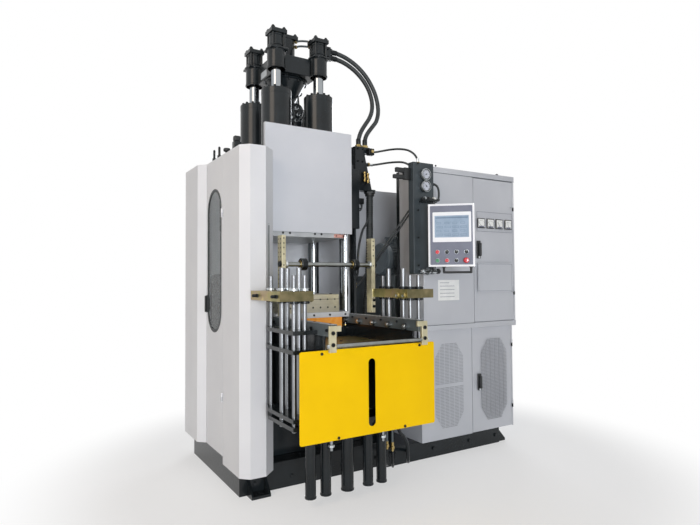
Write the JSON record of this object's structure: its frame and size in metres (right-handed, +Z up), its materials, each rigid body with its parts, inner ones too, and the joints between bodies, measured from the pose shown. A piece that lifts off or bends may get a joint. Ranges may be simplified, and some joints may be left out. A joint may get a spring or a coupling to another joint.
{
  "type": "rubber injection molding machine",
  "caption": "Upright rubber injection press with lift cylinders on its head, a front mould lifter with slide rails, a windowed side cover, a swing operator panel and a power cabinet.",
  "frame": {"origin": "floor level under the middle of the machine outline", "axes": "+X to the right of the operator, +Y to the back, +Z up"},
  "size_m": [2.501, 1.95, 3.351],
  "materials": {
    "black_enamel": "satin enamel",
    "hard_chrome": "polished hard chrome",
    "cream_powder_coat": "fine powder coat",
    "grey_powder_coat": "fine powder coat",
    "yellow_powder_coat": "powder coat",
    "yellow_zinc": "yellow chromated zinc plating",
    "ground_steel": "ground steel",
    "orange_board": "orange insulating board",
    "black_rubber": "matt rubber",
    "window_glass": "clear glazing",
    "black_nylon": "moulded nylon",
    "steel_hinge": "blackened steel",
    "dark_grey_enamel": "enamel",
    "light_panel_frame": "powder coated housing"
  },
  "bodies": {
    "root": {"press_base": "black_enamel", "power_base": "black_enamel", "floor_feet": "black_enamel", "press_bed": "black_enamel", "clamp_cylinder": "black_enamel", "tie_bars": "hard_chrome", "upper_platen": "ground_steel", "press_head": "black_enamel", "head_cover": "grey_powder_coat", "lift_cylinders": "black_enamel", "front_column": "cream_powder_coat", "rear_column": "cream_powder_coat", "cover_brackets": "black_enamel", "cover_hinges": "steel_hinge", "press_back_panel": "grey_powder_coat", "front_frame": "black_enamel", "guide_plates": "black_enamel", "front_panel": "yellow_powder_coat", "ejector_tubes": "black_enamel", "slide_rails": "black_enamel", "rail_rollers": "hard_chrome", "rail_brackets": "yellow_zinc", "roller_bar": "hard_chrome", "valve_manifold": "black_enamel", "lower_cabinet": "grey_powder_coat", "upper_cabinet": "grey_powder_coat", "oil_tank": "dark_grey_enamel", "pump_motor": "dark_grey_enamel", "power_panels": "grey_powder_coat", "gauge_column": "black_enamel", "panel_bracket": "black_enamel", "pressure_hose_front": "black_rubber", "pressure_hose_back": "black_rubber", "gauge_hose_upper": "black_rubber", "gauge_hose_lower": "black_rubber", "cable_conduit": "black_rubber"},
    "cover_door": {"cover_door": "cream_powder_coat", "door_gasket": "black_rubber", "door_window": "window_glass", "door_handle": "black_nylon"},
    "cabinet_door": {"cabinet_door": "grey_powder_coat"},
    "louvre_door": {"louvre_door": "grey_powder_coat"},
    "operator_panel": {"operator_box": "light_panel_frame"},
    "platen": {"clamp_ram": "hard_chrome", "moving_platen": "black_enamel", "insulating_board": "orange_board", "table_plate": "ground_steel", "heating_plate": "yellow_zinc", "mould_plate": "yellow_zinc"},
    "injection_unit": {"lift_rods": "hard_chrome", "yoke_sleeves": "black_enamel", "upper_cylinders": "black_enamel", "injection_yoke": "black_enamel", "barrel": "black_enamel", "core_cylinder": "black_enamel"},
    "lifter": {"lifting_arms": "yellow_zinc", "lifter_rods": "hard_chrome", "rod_collars": "black_enamel", "hanger_bars": "yellow_zinc", "cross_bar": "hard_chrome"}
  },
  "joints": [
    {"name": "cover_door_swing", "type": "hinge", "parent": "root", "child": "cover_door", "pos_m": [-1.2025, 0.1085, 1.235], "axis": [0, 0, 1], "range_deg": [0, 110]},
    {"name": "cabinet_door_swing", "type": "hinge", "parent": "root", "child": "cabinet_door", "pos_m": [1.231, -0.319, 1.63], "axis": [0, 0, 1], "range_deg": [0, 110]},
    {"name": "louvre_door_swing", "type": "hinge", "parent": "root", "child": "louvre_door", "pos_m": [1.231, -0.282, 0.57], "axis": [0, 0, 1], "range_deg": [0, 110]},
    {"name": "operator_panel_swing", "type": "hinge", "parent": "root", "child": "operator_panel", "pos_m": [0.1525, -0.546, 1.712], "axis": [0, 0, 1], "range_deg": [-48, 42]},
    {"name": "platen_lift", "type": "slide", "parent": "root", "child": "platen", "axis": [0, 0, 1], "range_m": [0, 0.3]},
    {"name": "injection_lift", "type": "slide", "parent": "root", "child": "injection_unit", "axis": [0, 0, 1], "range_m": [-0.12, 0.2], "deforming": ["pressure_hose_front", "pressure_hose_back"]},
    {"name": "lifter_lift", "type": "slide", "parent": "root", "child": "lifter", "axis": [0, 0, 1], "range_m": [0, 0.3]}
  ]
}
